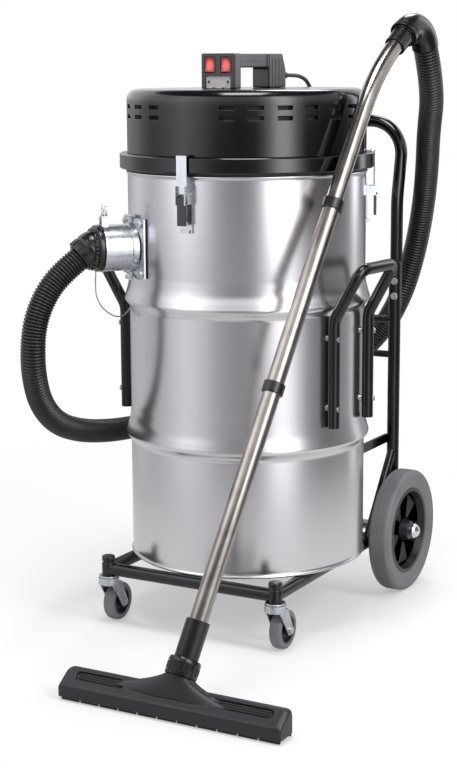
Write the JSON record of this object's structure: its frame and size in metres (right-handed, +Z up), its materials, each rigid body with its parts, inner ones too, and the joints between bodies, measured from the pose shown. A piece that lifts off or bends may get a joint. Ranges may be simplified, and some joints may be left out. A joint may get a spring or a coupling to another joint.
{
  "type": "shop vacuum",
  "caption": "Upright industrial drum vacuum on a wheeled trolley, with motor head, side inlet, ribbed hose, bent steel wand and wide floor head.",
  "frame": {"origin": "middle of the footprint of the machine without its cords, on the floor", "axes": "+Z up, -Y is the front with the switches, the casters and the floor head, +X is to the right seen from the front, on the wand's side"},
  "size_m": [0.717, 1.0986, 1.1678],
  "materials": {
    "drum_steel": "satin rolled stainless sheet",
    "frame_black": "gloss black powder coat",
    "rubber_black": "matt",
    "zinc_plate": "bright zinc plated",
    "lever_black": "black",
    "cuff_black": "moulded",
    "head_tool_black": "moulded, fine grain",
    "wand_steel": "polished stainless tube",
    "lid_black": "gloss",
    "handle_black": "moulded",
    "label_grey": "satin",
    "rocker_red": "translucent, lit",
    "rotor_steel": "machined",
    "motor_case": "grey",
    "filter_cloth": "woven",
    "axle_steel": "turned",
    "chrome_cap": "pressed dome",
    "tyre_grey": "solid grey rubber",
    "hub_dark": "moulded",
    "hose_black": "ribbed",
    "cable_black": "smooth sheath",
    "tether_steel": "stranded wire"
  },
  "bodies": {
    "root": {"axle_caps": "chrome_cap", "back_bars": "frame_black", "base_cross_tubes": "frame_black", "base_rails": "frame_black", "cable_coil": "cable_black", "caster_sockets": "cuff_black", "caster_stems": "zinc_plate", "drum_handles": "frame_black", "drum_seal": "rubber_black", "drum_shell": "drum_steel", "filter_bag": "filter_cloth", "floor_cuff": "cuff_black", "frame_braces": "frame_black", "hose": "hose_black", "hose_cuff": "cuff_black", "hose_elbow": "cuff_black", "inlet_gasket": "rubber_black", "inlet_spigot": "zinc_plate", "latch_bases": "zinc_plate", "lock_bracket": "zinc_plate", "mains_cable": "cable_black", "plug": "cable_black", "push_handle": "frame_black", "rear_axle": "axle_steel", "tether_wire": "tether_steel", "tube_bolts": "zinc_plate", "uprights": "frame_black", "wand_bent_tube": "wand_steel", "wand_collars": "cuff_black", "wand_straight_tubes": "wand_steel"},
    "head": {"head_base": "lid_black", "head_cover": "lid_black", "carry_handle": "handle_black", "switch_panel": "label_grey", "cable_gland": "cuff_black", "motor_housings": "motor_case"},
    "rocker_left": {"rocker_left": "rocker_red"},
    "rocker_right": {"rocker_right": "rocker_red"},
    "fan_left": {"fan_rotor_left": "rotor_steel"},
    "fan_right": {"fan_rotor_right": "rotor_steel"},
    "lock_screw": {"lock_screw": "zinc_plate"},
    "floor_tool": {"floor_head": "head_tool_black", "floor_swivel_ring": "cuff_black", "floor_blades": "rubber_black"},
    "latch_lever_front": {"latch_lever_front": "lever_black"},
    "latch_hook_front": {"latch_hook_front": "zinc_plate"},
    "latch_lever_left": {"latch_lever_left": "lever_black"},
    "latch_hook_left": {"latch_hook_left": "zinc_plate"},
    "latch_lever_right": {"latch_lever_right": "lever_black"},
    "latch_hook_right": {"latch_hook_right": "zinc_plate"},
    "caster_swivel_left": {"caster_fork_left": "zinc_plate"},
    "caster_wheel_left": {"caster_tyre_left": "tyre_grey", "caster_hub_left": "hub_dark"},
    "rear_wheel_left": {"rear_tyre_left": "tyre_grey", "rear_hub_left": "hub_dark"},
    "caster_swivel_right": {"caster_fork_right": "zinc_plate"},
    "caster_wheel_right": {"caster_tyre_right": "tyre_grey", "caster_hub_right": "hub_dark"},
    "rear_wheel_right": {"rear_tyre_right": "tyre_grey", "rear_hub_right": "hub_dark"}
  },
  "joints": [
    {"name": "head_lift", "type": "slide", "parent": "root", "child": "head", "axis": [0, 0, 1], "range_m": [0, 0.35], "deforming": ["mains_cable"]},
    {"name": "rocker_left_press", "type": "hinge", "parent": "head", "child": "rocker_left", "pos_m": [-0.06054, 0.0118, 1.0735], "axis": [1, 0, 0], "range_deg": [0, 14]},
    {"name": "rocker_right_press", "type": "hinge", "parent": "head", "child": "rocker_right", "pos_m": [-0.02654, 0.0118, 1.0735], "axis": [1, 0, 0], "range_deg": [0, 14]},
    {"name": "fan_left_spin", "type": "hinge", "parent": "head", "child": "fan_left", "pos_m": [-0.11954, 0.1218, 0.92], "axis": [0, 0, 1], "continuous": true},
    {"name": "fan_right_spin", "type": "hinge", "parent": "head", "child": "fan_right", "pos_m": [0.03246, 0.1218, 0.92], "axis": [0, 0, 1], "continuous": true},
    {"name": "latch_lever_front_open", "type": "hinge", "parent": "root", "child": "latch_lever_front", "pos_m": [-0.04354, -0.1217, 0.834], "axis": [-1, 0, 0], "range_deg": [0, 110]},
    {"name": "latch_hook_front_swing", "type": "hinge", "parent": "latch_lever_front", "child": "latch_hook_front", "pos_m": [-0.04354, -0.1287, 0.828], "axis": [-1, 0, 0], "range_deg": [-130, 0]},
    {"name": "latch_lever_left_open", "type": "hinge", "parent": "root", "child": "latch_lever_left", "pos_m": [-0.25441, 0.24355, 0.834], "axis": [0.5, 0.866, 0], "range_deg": [0, 110]},
    {"name": "latch_hook_left_swing", "type": "hinge", "parent": "latch_lever_left", "child": "latch_hook_left", "pos_m": [-0.26047, 0.24705, 0.828], "axis": [0.5, 0.866, 0], "range_deg": [-130, 0]},
    {"name": "latch_lever_right_open", "type": "hinge", "parent": "root", "child": "latch_lever_right", "pos_m": [0.16734, 0.24355, 0.834], "axis": [0.5, -0.866, 0], "range_deg": [0, 110]},
    {"name": "latch_hook_right_swing", "type": "hinge", "parent": "latch_lever_right", "child": "latch_hook_right", "pos_m": [0.1734, 0.24705, 0.828], "axis": [0.5, -0.866, 0], "range_deg": [-130, 0]},
    {"name": "lock_screw_turn", "type": "hinge", "parent": "root", "child": "lock_screw", "pos_m": [-0.2293, -0.09959, 0.794], "axis": [0, 0, 1], "range_deg": [0, 720]},
    {"name": "caster_left_swivel", "type": "hinge", "parent": "root", "child": "caster_swivel_left", "pos_m": [-0.22654, -0.1102, 0.085], "axis": [0, 0, 1], "continuous": true},
    {"name": "caster_left_roll", "type": "hinge", "parent": "caster_swivel_left", "child": "caster_wheel_left", "pos_m": [-0.22654, -0.0802, 0.0375], "axis": [1, 0, 0], "continuous": true},
    {"name": "rear_left_roll", "type": "hinge", "parent": "root", "child": "rear_wheel_left", "pos_m": [-0.27104, 0.3718, 0.125], "axis": [1, 0, 0], "continuous": true},
    {"name": "caster_right_swivel", "type": "hinge", "parent": "root", "child": "caster_swivel_right", "pos_m": [0.13946, -0.1102, 0.085], "axis": [0, 0, 1], "continuous": true},
    {"name": "caster_right_roll", "type": "hinge", "parent": "caster_swivel_right", "child": "caster_wheel_right", "pos_m": [0.13946, -0.0802, 0.0375], "axis": [1, 0, 0], "continuous": true},
    {"name": "rear_right_roll", "type": "hinge", "parent": "root", "child": "rear_wheel_right", "pos_m": [0.18396, 0.3718, 0.125], "axis": [1, 0, 0], "continuous": true},
    {"name": "floor_tool_swivel", "type": "hinge", "parent": "root", "child": "floor_tool", "pos_m": [0.13668, -0.45005, 0.06349], "axis": [0.0737, 0.5027, 0.8613], "range_deg": [-90, 90]}
  ],
  "couplings": [
    {"joint": "latch_hook_front_swing", "follows": "latch_lever_front_open", "ratio": -1.15},
    {"joint": "latch_hook_left_swing", "follows": "latch_lever_left_open", "ratio": -1.15},
    {"joint": "latch_hook_right_swing", "follows": "latch_lever_right_open", "ratio": -1.15}
  ]
}
